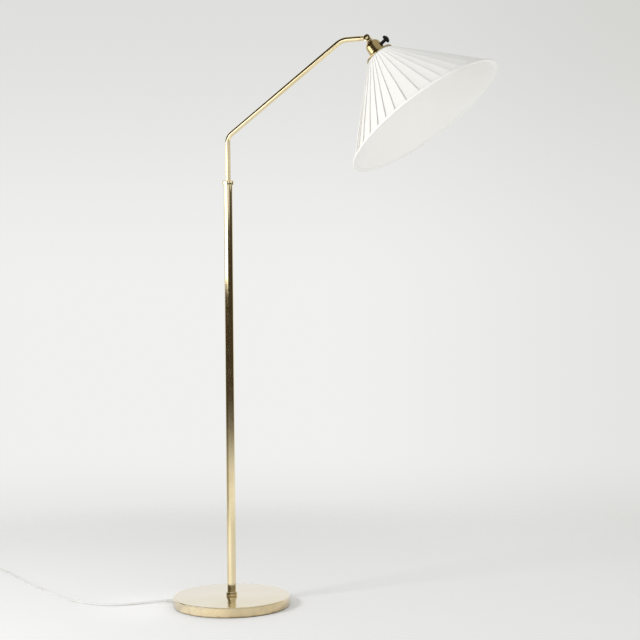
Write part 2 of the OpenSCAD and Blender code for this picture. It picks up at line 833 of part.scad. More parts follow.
module lampholder_cap() {
    color("black") in_head() difference() {
        rotate_extrude() polygon([
            [0, holder_neck],
            [holder_neck_r, holder_neck],
            [holder_neck_r, holder_top],
            [holder_r - 5, holder_top],
            [holder_r, holder_top + 4],
            [holder_r, holder_joint],
            [0, holder_joint]
        ]);
        translate([0, 0, holder_neck - 1])
            cylinder(r = bell_spigot_r + running_gap, h = bell_spigot_end - holder_neck + 1 + running_gap);
        at_knob() translate([0, 0, -spindle_depth - loose_gap])
            cylinder(r = spindle_r + running_gap, h = spindle_depth + 10);
    }
}

module lampholder_skirt() {
    color("black") in_head() rotate_extrude() polygon([
        [0, holder_joint],
        [holder_r, holder_joint],
        [holder_r, skirt_from],
        [skirt_r, skirt_from],
        [skirt_r, skirt_end],
        [socket_r, skirt_end],
        [socket_r, socket_floor],
        [0, socket_floor]
    ]);
}

module screw_shell() {
    color("gold") in_head() translate([0, 0, socket_floor]) difference() {
        cylinder(r = socket_r, h = skirt_end - socket_floor - 1);
        translate([0, 0, -1]) cylinder(r = socket_r - shell_wall, h = skirt_end);
    }
}

module centre_contact() {
    color("gold") in_head() translate([0, 0, socket_floor]) cylinder(r = 4, h = contact_thick);
}

module bulb_cap() {
    color("silver") in_head() translate([0, 0, bulb_from]) union() {
        cylinder(r = 4.6, h = tip_height);
        translate([0, 0, tip_height - 1]) cylinder(r1 = 8, r2 = cap_r, h = 3);
        translate([0, 0, tip_height + 2]) cylinder(r = cap_r, h = cap_height - 2);
    }
}

// Half outline of the bulb's glass, moved in by inset
module bulb_outline(inset) {
    r = bulb_r - inset;
    neck = glass_neck_r - inset;
    gap = [neck, glass_from + 6 - bulb_centre];
    meet = atan2(gap[1], gap[0]) + acos(r / norm(gap));
    intersection() {
        union() {
            polygon([
                [0, glass_from],
                [neck, glass_from],
                [neck, glass_from + 6],
                [r * cos(meet), bulb_centre + r * sin(meet)],
                [0, bulb_centre]
            ]);
            translate([0, bulb_centre]) circle(r);
        }
        translate([0, glass_from]) square([bulb_dia, bulb_length]);
    }
}

module bulb_glass() {
    color("whitesmoke") in_head() rotate_extrude() difference() {
        bulb_outline(0);
        bulb_outline(glass_wall);
    }
}

// ---- switch knob ----

// Frame of the knob, inside the head's frame: +Z runs out of the bell's upper side
module at_knob() {
    translate([-knob_seat, 0, knob_place]) rotate([0, -90 - knob_lean, 0]) children();
}

module switch_knob() {
    dome_r = knob_r * 1.25;
    rim_height = 2.5;
    color("black") in_head() at_knob() difference() {
        union() {
            translate([0, 0, -neck_inside]) cylinder(r = knob_neck_r, h = knob_neck + neck_inside + 1);
            translate([0, 0, knob_neck]) cylinder(r1 = knob_r - 1.6, r2 = knob_r, h = rim_height);
            intersection() {
                translate([0, 0, knob_neck + rim_height]) cylinder(r = knob_r, h = knob_thick - rim_height);
                translate([0, 0, knob_top - dome_r]) sphere(dome_r);
            }
        }
        for (i = [0 : flute_count - 1]) rotate([0, 0, i * 360 / flute_count])
            translate([knob_r + 0.6, 0, knob_neck - 1]) cylinder(r = flute_r, h = knob_thick + 2);
        translate([0, 0, -neck_inside - 1]) cylinder(r = spindle_r, h = neck_inside + knob_neck + 1);
    }
}

module switch_spindle() {
    color("gold") in_head() at_knob() translate([0, 0, -spindle_depth])
        cylinder(r = spindle_r, h = spindle_depth + knob_neck);
}

// ---- leads inside the lamp ----

module base_lead() {
    run = base_r - bush_inside - lead_bend;
    color("white") rotate([0, 0, exit_angle]) union() {
        translate([lead_bend, 0, exit_height]) rotate([0, 90, 0]) cylinder(r = lead_r, h = run);
        translate([lead_bend, 0, exit_height + lead_bend]) rotate([90, 0, 0]) rotate([0, 0, 180])
            rotate_extrude(angle = 90) translate([lead_bend, 0]) circle(lead_r);
        translate([0, 0, exit_height + lead_bend]) cylinder(r = lead_r, h = nipple_top - exit_height - lead_bend);
    }
}

module pole_lead() {
    color("white") translate([0, 0, nipple_top])
        cylinder(r = lead_r, h = arm_bottom - loose_gap - nipple_top);
}

module arm_lead() {
    color("white") difference() {
        arm_run(lead_r, 0);
        translate([arm_end - spigot_length, -arm_r, arm_height - arm_r]) cube(arm_dia);
    }
}

module head_lead() {
    color("white") in_head() translate([0, 0, knuckle_r + knuckle_gap + 1])
        cylinder(r = lead_r, h = bell_spigot_end - knuckle_r - knuckle_gap - 1);
}

// ---- mains cord ----

module cord_bush() {
    collar = 2.4;
    color("white") rotate([0, 0, exit_angle]) translate([base_r, 0, exit_height]) rotate([0, 90, 0])
        rotate_extrude() polygon([
            [0, -bush_inside],
            [groove_width / 2 - 0.3, -bush_inside],
            [groove_width / 2 - 0.3, 0],
            [groove_width / 2 + 0.7, 0],
            [groove_width / 2 + 0.7, collar],
            [groove_width / 2, collar],
            [cord_r + 0.5, bush_length],
            [0, bush_length]
        ]);
}

module mains_cord() {
    color("white") flat_tube(curve(ROUTE, 3), cord_r, 8);
}

// The coil spirals in and out again at a steady rate, and climbs a layer in the half turn
// where it reverses. t counts the loops
function climb(t) = let (x = max(0, min(1, (t - coil_half + 0.25) / 0.5))) x * x * (3 - 2 * x);
function coil_r(t) = coil_inner + coil_pitch * abs(t - coil_half);
function coil_point(t) =
    coil_centre
    + coil_r(t) * [cos(coil_start + 360 * t), sin(coil_start + 360 * t), 0]
    + [0, 0, cord_r + coil_pitch * climb(t)];
COIL = [for (k = [0 : coil_loops * 24]) coil_point(k / 24)];
coil_gap = min([
    for (i = [0 : len(COIL) - 1], j = [i + 12 : len(COIL) - 1]) if (j < len(COIL)) norm(COIL[i] - COIL[j])
]) - cord_dia;
echo("least gap of the coil to itself", coil_gap);

module cord_coil() {
    last = len(COIL) - 1;
    ends = [[COIL[0] - cord_dia * coil_in_dir], [COIL[last] + cord_dia * plug_dir]];
    color("white") flat_tube(concat(ends[0], COIL, ends[1]), cord_r, 6);
}

module plug_lead() {
    color("white") flat_tube(curve(PLUG_ROUTE, 2), cord_r, 8);
}

// Frame of the plug: +X runs from the cord to the pins
module at_plug() {
    translate([plug_from[0], plug_from[1], plug_from[2]]) rotate([0, 0, atan2(plug_dir[1], plug_dir[0])])
        children();
}

module plug_body() {
    half = plug_width / 2;
    grip = plug_grip / 2;
    tip = plug_tail + plug_length;
    color("white") at_plug() union() {
        rotate([0, 90, 0]) cylinder(r1 = cord_r + 0.8, r2 = cord_r + 2.2, h = plug_tail);
        intersection() {
            translate([0, 0, -plug_height / 2]) linear_extrude(plug_height) polygon([
                [plug_tail, -grip], [plug_tail + 9, -grip - 2], [tip - 10, -half], [tip, -half],
                [tip, half], [tip - 10, half], [plug_tail + 9, grip + 2], [plug_tail, grip]
            ]);
            rotate([90, 0, 90]) linear_extrude(tip) polygon([
                [-half, -1.5], [-half + 6, -plug_height / 2], [half - 6, -plug_height / 2], [half, -1.5],
                [half, 1.5], [half - 6, plug_height / 2], [-half + 6, plug_height / 2], [-half, 1.5]
            ]);
        }
    }
}

module plug_pins() {
    color("silver") at_plug() for (side = [-1, 1])
        translate([plug_tail + plug_length, side * pin_spacing / 2, 0]) rotate([0, 90, 0]) union() {
            cylinder(r = pin_r, h = pin_length - pin_r);
            translate([0, 0, pin_length - pin_r]) sphere(pin_r);
        }
}

base_felt();
base_weight();
base_cover();
base_washer();
base_nut();
stem_nipple();
foot_ring();
pole_tube();
foot_plug();
collet();
clamp_ring();
guide_bush();
arm_tube();
guide_rings();
arm_ferrule();
arm_knuckle();
head_knuckle();
friction_washer();
knuckle_screw();
knuckle_nut();
bell();
bell_nut();
shade_brim();
shade_ring();
shade_frame();
shade_lining();
shade_cover();
rim_binding();
lampholder_cap();
lampholder_skirt();
screw_shell();
centre_contact();
bulb_cap();
bulb_glass();
switch_knob();
switch_spindle();
cord_bush();
base_lead();
pole_lead();
arm_lead();
head_lead();
mains_cord();
cord_coil();
plug_lead();
plug_body();
plug_pins();
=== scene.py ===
import json
import math

import bmesh
import bpy
from mathutils import Matrix, Vector, noise


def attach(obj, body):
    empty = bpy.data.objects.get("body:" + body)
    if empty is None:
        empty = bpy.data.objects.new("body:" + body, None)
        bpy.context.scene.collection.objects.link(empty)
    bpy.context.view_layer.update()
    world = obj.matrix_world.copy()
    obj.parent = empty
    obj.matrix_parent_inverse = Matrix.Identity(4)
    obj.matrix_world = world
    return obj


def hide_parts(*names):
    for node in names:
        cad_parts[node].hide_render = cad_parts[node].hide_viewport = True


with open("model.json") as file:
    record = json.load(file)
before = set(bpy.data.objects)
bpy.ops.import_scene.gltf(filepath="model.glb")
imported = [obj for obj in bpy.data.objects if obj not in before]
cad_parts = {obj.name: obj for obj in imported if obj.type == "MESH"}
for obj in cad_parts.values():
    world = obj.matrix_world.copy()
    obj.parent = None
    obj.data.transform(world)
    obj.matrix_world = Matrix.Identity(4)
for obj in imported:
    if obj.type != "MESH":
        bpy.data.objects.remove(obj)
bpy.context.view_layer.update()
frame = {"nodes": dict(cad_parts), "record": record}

# ---- camera ----
# The photograph was taken from about three metres away at table height, a little to the
# right of square to the arm, with the camera turned by half a degree.
camera_at = (1.2021, -2.9852, 0.7097)
camera_turn = math.radians(17.9)
camera_roll = math.radians(-0.516)
camera_data = bpy.data.cameras.new("camera")
camera_data.lens = 72.34
camera_data.sensor_width = 36
camera = bpy.data.objects.new("camera", camera_data)
bpy.context.scene.collection.objects.link(camera)
camera.matrix_world = (
    Matrix.Translation(camera_at)
    @ Matrix.Rotation(camera_turn, 4, "Z")
    @ Matrix.Rotation(math.radians(90), 4, "X")
    @ Matrix.Rotation(camera_roll, 4, "Z")
)
bpy.context.scene.camera = camera


# ---- mains cord ----
# A round two-core lead in white soft plastic. It leaves the base through a bush, runs over
# the floor in two loose curves, is wound up in two layers out of the way, and ends in its plug.
class Value:
    """A number that varies over a surface. Arithmetic on it adds the nodes that work it out."""

    def __init__(self, finish, socket):
        self.finish = finish
        self.socket = socket

    def worked(self, operation, first, second=0.0):
        return self.finish.node("ShaderNodeMath", {"operation": operation}, {0: first, 1: second})

    def __add__(self, other):
        return self.worked("ADD", self, other)

    def __radd__(self, other):
        return self.worked("ADD", other, self)

    def __sub__(self, other):
        return self.worked("SUBTRACT", self, other)

    def __rsub__(self, other):
        return self.worked("SUBTRACT", other, self)

    def __mul__(self, other):
        return self.worked("MULTIPLY", self, other)

    def __rmul__(self, other):
        return self.worked("MULTIPLY", other, self)

    def __truediv__(self, other):
        return self.worked("DIVIDE", self, other)

    def fraction(self):
        return self.worked("FRACT", self)

    def sine(self):
        return self.worked("SINE", self)

    def ramp(self, low, high):
        """0 at low and below, 1 at high and above, smooth between."""
        return self.finish.node(
            "ShaderNodeMapRange",
            {"interpolation_type": "SMOOTHSTEP"},
            {"Value": self, "From Min": low, "From Max": high, "To Min": 0.0, "To Max": 1.0},
        )


# A Mix node has a set of sockets for each kind of data. These are its colour sockets.
mix_share, mix_low, mix_high, mix_result = 0, 6, 7, 2


class Finish:
    """The finish of a surface: its shader nodes, and the few kinds of node that make them."""

    def __init__(self, tree):
        self.tree = tree

    def node(self, kind, settings, sockets, output=0):
        made = self.tree.nodes.new(kind)
        for name, value in settings.items():
            setattr(made, name, value)
        for name, value in sockets.items():
            if isinstance(value, Value):
                self.tree.links.new(value.socket, made.inputs[name])
            else:
                made.inputs[name].default_value = value
        return Value(self, made.outputs[output])

    def spot(self):
        """Where a point of the surface is, in metres from the scene's middle."""
        return self.node("ShaderNodeTexCoord", {}, {}, "Object")

    def axis(self, spot, letter):
        """The X, Y or Z of a spot."""
        return self.node("ShaderNodeSeparateXYZ", {}, {0: spot}, letter)

    def measured(self, operation, first, second=(0, 0, 0)):
        """A length, a distance or a dot product of vectors."""
        return self.node("ShaderNodeVectorMath", {"operation": operation}, {0: first, 1: second}, "Value")

    def ray(self, kind):
        """What is known of the ray of light that meets the surface."""
        return self.node("ShaderNodeLightPath", {}, {}, kind)

    def cloud(self, size, detail=3.0, scale=(1, 1, 1)):
        """Soft noise whose blotches are about size metres across."""
        place = self.node(
            "ShaderNodeMapping", {"vector_type": "POINT"}, {"Vector": self.spot(), "Scale": scale}
        )
        return self.node(
            "ShaderNodeTexNoise", {},
            {"Vector": place, "Scale": 1 / size, "Detail": detail, "Roughness": 0.55}, "Fac",
        )

    def mix(self, share, low, high, blend="MIX"):
        """From colour low to colour high by share. Either may vary itself."""
        low, high = (c if isinstance(c, Value) else (*c, 1) for c in (low, high))
        return self.node(
            "ShaderNodeMix", {"data_type": "RGBA", "blend_type": blend},
            {mix_share: share, mix_low: low, mix_high: high}, mix_result,
        )

    def bump(self, height, depth, strength):
        """Relief that is depth metres deep where height goes from 0 to 1."""
        return self.node(
            "ShaderNodeBump", {}, {"Height": height, "Distance": depth, "Strength": strength}
        )


def finish_named(name, steady, make):
    """A material: the steady values of its shader, and what varies, which make(finish) returns."""
    material = bpy.data.materials.new(name)
    material.use_nodes = True
    finish = Finish(material.node_tree)
    shader = next(n for n in material.node_tree.nodes if n.type == "BSDF_PRINCIPLED")
    for socket, value in steady.items():
        shader.inputs[socket].default_value = value
    for socket, value in make(finish).items():
        material.node_tree.links.new(value.socket, shader.inputs[socket])
    return material


def millimetres(*points):
    """Places in millimetres, turned to metres."""
    return [Vector(p) / 1000 for p in points]


def smooth_line(points, steps):
    """A Catmull-Rom curve through points."""
    line = []
    for i in range(len(points) - 1):
        a, b = points[max(i - 1, 0)], points[i]
        c, d = points[i + 1], points[min(i + 2, len(points) - 1)]
        for k in range(steps):
            t = k / steps
            square = (2 * a - 5 * b + 4 * c - d) * t * t
            cube = (3 * b - a - 3 * c + d) * t ** 3
            line.append(0.5 * (2 * b + (c - a) * t + square + cube))
    return line + [points[-1]]


cord_width = 0.006
exit_turn = math.radians(190)
exit_height = 0.0075
cord_exit = Vector((math.cos(exit_turn), math.sin(exit_turn), 0))
bush_reach = 0.169
bush_end = bush_reach * cord_exit + Vector((0, 0, exit_height))
coil_middle = Vector((-0.880, 0.244, 0))
coil_loops, climb_loops, loop_points = 5.5, 0.5, 30
coil_inner_radius, coil_spacing = 0.027, 0.0066
coil_start = 53.13


def coil_spot(t):
    """Where the cord is after t loops of its coil, which spirals in and out again."""
    halfway = coil_loops / 2
    radius = coil_inner_radius + coil_spacing * abs(t - halfway)
    climb = max(0, min(1, (t - halfway + climb_loops / 2) / climb_loops))
    turn = math.radians(coil_start + 360 * t)
    height = cord_width / 2 + coil_spacing * climb * climb * (3 - 2 * climb)
    return coil_middle + Vector((radius * math.cos(turn), radius * math.sin(turn), height))


way_into_coil = Vector((-0.8, 0.6, 0))
way_of_plug = Vector((0.8, -0.6, 0))
over_coil = Vector((-0.886, 0.1925, 0.0083))
plug_end = Vector((-0.866, 0.1775, 0.00685))
floor_run = millimetres(
    (-205, -43, 4.6), (-228, -58, 3.3), (-252, -75, 3), (-282, -90, 3), (-316, -94, 3), (-348, -89, 3),
    (-380, -81, 3), (-416, -67, 3), (-450, -44, 3), (-482, -18, 3), (-517, 9, 3), (-569, 47, 3),
    (-622, 88, 3), (-688, 144, 3), (-757, 206, 3), (-818, 253, 3),
)
cord_line = smooth_line(
    [bush_end, bush_end + 0.012 * cord_exit - Vector((0, 0, 0.0005))] + floor_run
    + [coil_spot(0) - 0.020 * way_into_coil, coil_spot(0) - cord_width * way_into_coil], 6
)
cord_line += [coil_spot(k / loop_points) for k in range(int(coil_loops * loop_points) + 1)]
coil_end = coil_spot(coil_loops)
cord_line += smooth_line(
    [coil_end + cord_width * way_of_plug, coil_end + 2 * cord_width * way_of_plug, over_coil,
     plug_end - cord_width * way_of_plug, plug_end], 4
)


def cord_skin(finish):
    grime = finish.cloud(0.03, 4)
    return {
        "Base Color": finish.mix(grime.ramp(0.45, 0.75), (0.92, 0.92, 0.90), (0.85, 0.845, 0.81)),
        "Roughness": 0.36 + 0.12 * finish.cloud(0.006),
        "Normal": finish.bump(finish.cloud(0.0012), 0.00004, 0.6),
    }


cord_plastic = finish_named("cord_plastic", {"Specular IOR Level": 0.45}, cord_skin)
cord_data = bpy.data.curves.new("floor_cord", "CURVE")
cord_data.dimensions = "3D"
cord_data.bevel_depth = cord_width / 2
cord_data.bevel_resolution = 3
cord_data.use_fill_caps = True
line = cord_data.splines.new("POLY")
line.points.add(len(cord_line) - 1)
for point, spot in zip(line.points, cord_line):
    point.co = (*spot, 1)
line.use_smooth = True
cord_data.materials.append(cord_plastic)
floor_cord = bpy.data.objects.new("floor_cord", cord_data)
bpy.context.scene.collection.objects.link(floor_cord)
cord_length = sum((b - a).length for a, b in zip(cord_line, cord_line[1:]))
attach(floor_cord, "stand")
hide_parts("mains_cord", "cord_coil", "plug_lead")


# ---- plug and bush ----
# A flat moulded plug with two nickel-plated pins is at the cord's end. Where the cord leaves
# the base, a ribbed bush of the same soft plastic keeps it from kinking.
def turned(outline, segments, closed=True):
    """A turned piece: its half outline of (radius, height) points in metres, spun about Z."""
    shape = bmesh.new()
    corners = [shape.verts.new((radius, 0, height)) for radius, height in outline]
    for a, b in zip(corners, corners[1:] + corners[:1] if closed else corners[1:]):
        shape.edges.new((a, b))
    bmesh.ops.spin(
        shape, geom=shape.verts[:] + shape.edges[:], axis=(0, 0, 1), cent=(0, 0, 0),
        steps=segments, angle=2 * math.pi, use_merge=True,
    )
    bmesh.ops.remove_doubles(shape, verts=shape.verts, dist=1e-7)
    bmesh.ops.recalc_face_normals(shape, faces=shape.faces)
    return shape


def arc(radius, height, size, start, end, steps):
    """Points of an outline round a corner, from one angle to another."""
    turns = [math.radians(start + (end - start) * k / steps) for k in range(steps + 1)]
    return [(radius + size * math.cos(t), height + size * math.sin(t)) for t in turns]


def outline_mm(*points):
    """Points of an outline, (radius, height) in millimetres, turned to metres."""
    return [(radius / 1000, height / 1000) for radius, height in points]


def piece_of(shape, name, material, nodes, sharp=32, place=None):
    """The finished piece from its shape, in the place of its CAD nodes and on their body.

    Edges that turn by more than sharp degrees are shown as edges.
    """
    if place is not None:
        shape.transform(place)
    data = bpy.data.meshes.new(name)
    shape.to_mesh(data)
    shape.free()
    data.shade_smooth()
    data.set_sharp_from_angle(angle=math.radians(sharp))
    data.materials.append(material)
    piece = bpy.data.objects.new(name, data)
    bpy.context.scene.collection.objects.link(piece)
    bodies = frame["record"]["behaviour"]["bodies"]
    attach(piece, next(body for body in bodies if nodes[0] in bodies[body]))
    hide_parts(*nodes)
    return piece


def softened(node, name, material, width):
    """A rigid piece with its CAD node's own shape, whose machined edges are broken."""
    facet_angle, edge_angle = math.radians(1), math.radians(30)
    shape = bmesh.new()
    shape.from_mesh(frame["nodes"][node].data)
    bmesh.ops.remove_doubles(shape, verts=shape.verts, dist=1e-6)
    bmesh.ops.dissolve_limit(
        shape, angle_limit=facet_angle, verts=shape.verts, edges=shape.edges, delimit=set()
    )
    edges = [e for e in shape.edges if e.is_manifold and e.calc_face_angle(0) > edge_angle]
    bmesh.ops.bevel(
        shape, geom=edges, offset=width, offset_type="OFFSET", affect="EDGES", segments=2, profile=0.5,
        material=-1, clamp_overlap=True,
    )
    bmesh.ops.triangulate(shape, faces=[f for f in shape.faces if len(f.verts) > 4])
    return piece_of(shape, name, material, [node])


def coat(material, *nodes):
    """CAD nodes that stay get their finish."""
    for node in nodes:
        data = frame["nodes"][node].data
        data.materials.clear()
        data.materials.append(material)


def moulded_skin(finish):
    grime = finish.cloud(0.02, 4)
    return {
        "Base Color": finish.mix(grime.ramp(0.4, 0.75), (0.86, 0.86, 0.83), (0.80, 0.79, 0.75)),
        "Roughness": 0.3 + 0.12 * finish.cloud(0.004),
        "Normal": finish.bump(finish.cloud(0.0009), 0.00003, 0.5),
    }


def pin_skin(finish):
    rubbed = finish.cloud(0.004, 4, (1, 1, 6))
    return {
        "Base Color": finish.mix(rubbed, (0.66, 0.64, 0.60), (0.82, 0.80, 0.76)),
        "Roughness": 0.16 + 0.2 * rubbed,
        "Normal": finish.bump(finish.cloud(0.0007, 3), 0.000008, 0.4),
    }


moulded_plastic = finish_named(
    "moulded_plastic", {"Specular IOR Level": 0.5, "Coat Weight": 0.1}, moulded_skin
)
nickel = finish_named("nickel", {"Metallic": 1.0}, pin_skin)
plug = softened("plug_body", "plug", moulded_plastic, 0.0009)
pins = softened("plug_pins", "pins", nickel, 0.0002)

base_radius = 0.145
rib_count, rib_spacing = 5, 4.0
bush_outline = [
    (3.0, -13.8), (4.1, -13.8), (4.1, 0), (5.0, 0), (5.2, 0.4), (5.2, 2.0), (4.8, 2.4),
]
for k in range(rib_count):
    start = 3.0 + rib_spacing * k
    rib = 4.48 - 0.18 * k
    groove = rib - 0.7
    bush_outline += [(rib, start), (rib, start + 2.4), (groove, start + 2.8), (groove, start + 3.6)]
bush_outline += [(3.4, 23.6), (3.2, 23.9), (3.0, 23.9)]
piece_of(
    turned(outline_mm(*bush_outline), 48), "bush", moulded_plastic, ["cord_bush"],
    place=Matrix.Rotation(exit_turn, 4, "Z") @ Matrix.Translation((base_radius, 0, exit_height))
    @ Matrix.Rotation(math.radians(90), 4, "Y"),
)


# ---- base ----
# A spun brass cover over a cast iron disc, with felt under it. The brass is polished and
# lacquered, and the cast disc, washer and nut are out of sight.
def spun_skin(finish):
    """Fine rings from the spinning, painted shade round the side that darkens to the right, and a darker
    brown towards the floor.
    """
    spot = finish.spot()
    height = finish.axis(spot, "Z")
    level = finish.node("ShaderNodeVectorMath", {"operation": "MULTIPLY"}, {0: spot, 1: (1, 1, 0)})
    rings = finish.node(
        "ShaderNodeTexNoise", {"noise_dimensions": "1D"},
        {"W": finish.measured("LENGTH", level), "Scale": 900.0, "Detail": 3.0},
    )
    side = 1 - height.ramp(0.0215, 0.0232)
    rightward = finish.axis(spot, "X").ramp(-0.13, 0.06)
    brass = finish.mix(finish.cloud(0.11, 3).ramp(0.35, 0.75), (0.95, 0.84, 0.60), (0.90, 0.77, 0.50))
    # Painted shade: the side wall is painted a darker brass, more so towards the right.
    brass = finish.mix(side * (0.2 + 0.6 * rightward), brass, (0.78, 0.62, 0.36))
    blots = finish.cloud(0.016, 6)
    # Darker brown towards the floor, broken by blots, and faint blotches over the side.
    near_floor = 1 - (height - 0.004 * blots).ramp(0.0005, 0.003)
    low_dark_and_blots = near_floor * (0.55 + 0.3 * blots) + 0.2 * blots.ramp(0.50, 0.66) * side
    return {
        "Base Color": finish.mix(low_dark_and_blots, brass, (0.40, 0.29, 0.14)),
        "Roughness": 0.13 + 0.08 * finish.cloud(0.045, 5) + 0.04 * rings,
        "Normal": finish.bump(rings, 0.00001, 0.3),
    }


def iron_skin(finish):
    cast = finish.cloud(0.002, 5)
    return {
        "Base Color": finish.mix(finish.cloud(0.03), (0.05, 0.048, 0.045), (0.09, 0.075, 0.06)),
        "Roughness": 0.6 + 0.25 * cast,
        "Normal": finish.bump(cast, 0.0002, 0.6),
    }


def felt_skin(finish):
    fuzz = finish.cloud(0.0012, 6, (1, 1, 0.4))
    return {
        "Base Color": finish.mix(fuzz, (0.035, 0.034, 0.033), (0.075, 0.072, 0.07)),
        "Normal": finish.bump(fuzz, 0.0004, 0.8),
    }


def steel_skin(finish):
    turned_lines = finish.cloud(0.001, 3)
    return {
        "Base Color": finish.mix(finish.cloud(0.006, 4), (0.52, 0.51, 0.50), (0.62, 0.61, 0.60)),
        "Roughness": 0.28 + 0.18 * turned_lines,
        "Normal": finish.bump(turned_lines, 0.00002, 0.5),
    }


spun_brass = finish_named(
    "spun_brass", {"Metallic": 1.0, "Coat Weight": 1.0, "Coat Roughness": 0.1}, spun_skin
)
cast_iron = finish_named("cast_iron", {"Specular IOR Level": 0.3}, iron_skin)
felt = finish_named("felt", {"Roughness": 0.95, "Sheen Weight": 0.4}, felt_skin)
bright_steel = finish_named("bright_steel", {"Metallic": 1.0}, steel_skin)
cover_hole, cover_top, cover_wall = 0.0053, 0.025, 0.0012
edge_middle, edge_radius = (0.1424, 0.0224), 0.0026
base_outline = (
    [(cover_hole, cover_top)] + arc(*edge_middle, edge_radius, 90, 0, 8)
    + outline_mm((145, 2.1), (144.8, 1.6), (144.4, 1.5), (144.0, 1.6), (143.8, 2.1))
    + arc(*edge_middle, edge_radius - cover_wall, 0, 90, 5) + [(cover_hole, cover_top - cover_wall)]
)
piece_of(turned(base_outline, 256), "base_shell", spun_brass, ["base_cover"], sharp=40)
coat(cast_iron, "base_weight")
coat(felt, "base_felt")
coat(bright_steel, "base_washer", "base_nut", "stem_nipple")


# ---- pole ----
# A drawn brass tube, polished and lacquered. It screws on to the nipple inside a turned
# foot ring, which hides the joint with the base.
def brass_skin(finish):
    smear = finish.cloud(0.02, 5)
    tarnish = finish.cloud(0.09, 4)
    return {
        "Base Color": finish.mix(tarnish.ramp(0.35, 0.75), (0.93, 0.80, 0.52), (0.87, 0.72, 0.42)),
        "Roughness": 0.05 + 0.08 * smear,
    }


def raw_skin(finish):
    return {
        "Base Color": finish.mix(finish.cloud(0.005, 4), (0.80, 0.66, 0.36), (0.70, 0.55, 0.28)),
        "Roughness": 0.22 + 0.15 * finish.cloud(0.002, 4),
        "Normal": finish.bump(finish.cloud(0.001), 0.00001, 0.4),
    }


polished_brass = finish_named(
    "polished_brass", {"Metallic": 1.0, "Coat Weight": 0.6, "Coat Roughness": 0.06}, brass_skin
)
raw_brass = finish_named("raw_brass", {"Metallic": 1.0}, raw_skin)
foot_outline = (
    [(0.01105, 0.025)] + arc(0.0131, 0.0259, 0.0009, -90, 0, 5)
    + arc(0.0131, 0.0331, 0.0009, 0, 90, 5) + [(0.01105, 0.034)]
)
pole_outline = outline_mm((9.8, 25), (11, 25), (11, 1047.8), (10.8, 1048), (9.8, 1048))
piece_of(turned(foot_outline, 96), "foot_collar", polished_brass, ["foot_ring"])
piece_of(turned(pole_outline, 128), "pole", polished_brass, ["pole_tube"])
coat(raw_brass, "foot_plug")


# ---- collet and clamp ring ----
# A slit brass collet in the top of the pole grips the arm tube when the turned ring above
# it is screwed down.
clamp_outline = (
    outline_mm((9.8, 1049.5), (11.3, 1049.5), (11.3, 1048))
    + arc(0.0132, 1.0488, 0.0008, -90, 0, 5) + arc(0.0132, 1.0579, 0.0008, 0, 90, 5)
    + outline_mm((7.3, 1058.7), (6.8, 1058.2), (6.8, 1057.2), (8.2, 1057.2), (9.65, 1053.6))
)
softened("collet", "chuck", raw_brass, 0.0002)
piece_of(turned(clamp_outline, 96), "clamp", polished_brass, ["clamp_ring"])


# ---- arm ----
# One brass tube with two bends. Its straight lower part slides in the pole, guided at its
# foot by a white bush between two pressed rings, and a grooved ferrule closes its outer end.
def pulled(shape, ring, by):
    """Draws a ring of edges out along by, and returns the ring at the new end."""
    made = bmesh.ops.extrude_edge_only(shape, edges=ring)["geom"]
    ends = {v for v in made if isinstance(v, bmesh.types.BMVert)}
    bmesh.ops.translate(shape, verts=list(ends), vec=by)
    return [e for e in made if isinstance(e, bmesh.types.BMEdge) and ends.issuperset(e.verts)]


def bent(shape, ring, centre, angle, steps):
    """Carries a ring of edges round a bend in the arm's plane."""
    points = list({v for e in ring for v in e.verts})
    made = bmesh.ops.spin(
        shape, geom=points + ring, axis=(0, 1, 0), cent=centre, angle=math.radians(angle), steps=steps
    )
    return [e for e in made["geom_last"] if isinstance(e, bmesh.types.BMEdge)]


def nylon_skin(finish):
    return {
        "Base Color": finish.mix(finish.cloud(0.01, 4), (0.80, 0.79, 0.75), (0.72, 0.71, 0.66)),
        "Roughness": 0.4 + 0.15 * finish.cloud(0.003),
        "Normal": finish.bump(finish.cloud(0.0008), 0.00002, 0.5),
    }


nylon = finish_named("nylon", {"Specular IOR Level": 0.4}, nylon_skin)
arm_radius, arm_wall = 0.0065, 0.001
arm_foot, arm_level, arm_end = 0.7127, 1.388, 0.3465
slope, slope_length = 36.2538, 0.34313
slope_way = Vector((math.cos(math.radians(slope)), 0, math.sin(math.radians(slope))))
lower_bend = Vector((0.026, 0, 1.154826))
upper_bend = Vector((0.31571, 0, 1.340))
shape = bmesh.new()
bmesh.ops.create_circle(
    shape, segments=64, radius=arm_radius, matrix=Matrix.Translation((0, 0, arm_foot))
)
ring = pulled(shape, shape.edges[:], (0, 0, lower_bend.z - arm_foot))
ring = bent(shape, ring, lower_bend, 90 - slope, 24)
ring = pulled(shape, ring, slope_length * slope_way)
ring = bent(shape, ring, upper_bend, slope, 20)
pulled(shape, ring, (arm_end - upper_bend.x, 0, 0))
bmesh.ops.recalc_face_normals(shape, faces=shape.faces)
bmesh.ops.solidify(shape, geom=shape.faces[:], thickness=arm_wall)
bmesh.ops.recalc_face_normals(shape, faces=shape.faces)
piece_of(shape, "arm_pipe", polished_brass, ["arm_tube"])
ferrule_outline = outline_mm(
    (4.0, -7), (5.45, -7), (5.45, 0), (6.0, 0), (6.2, 0.2), (6.2, 2.2), (6.05, 2.38),
    (5.4, 2.38), (5.4, 3.56), (6.05, 3.56), (6.2, 3.74), (6.2, 5.76), (6.05, 5.94),
    (5.4, 5.94), (5.4, 7.12), (6.05, 7.12), (6.2, 7.3), (6.2, 9.3), (6.0, 9.5), (4.0, 9.5),
)
piece_of(
    turned(ferrule_outline, 72), "ferrule", polished_brass, ["arm_ferrule"], sharp=50,
    place=Matrix.Translation((arm_end, 0, arm_level)) @ Matrix.Rotation(math.radians(90), 4, "Y"),
)
coat(nylon, "guide_bush")
coat(bright_steel, "guide_rings")


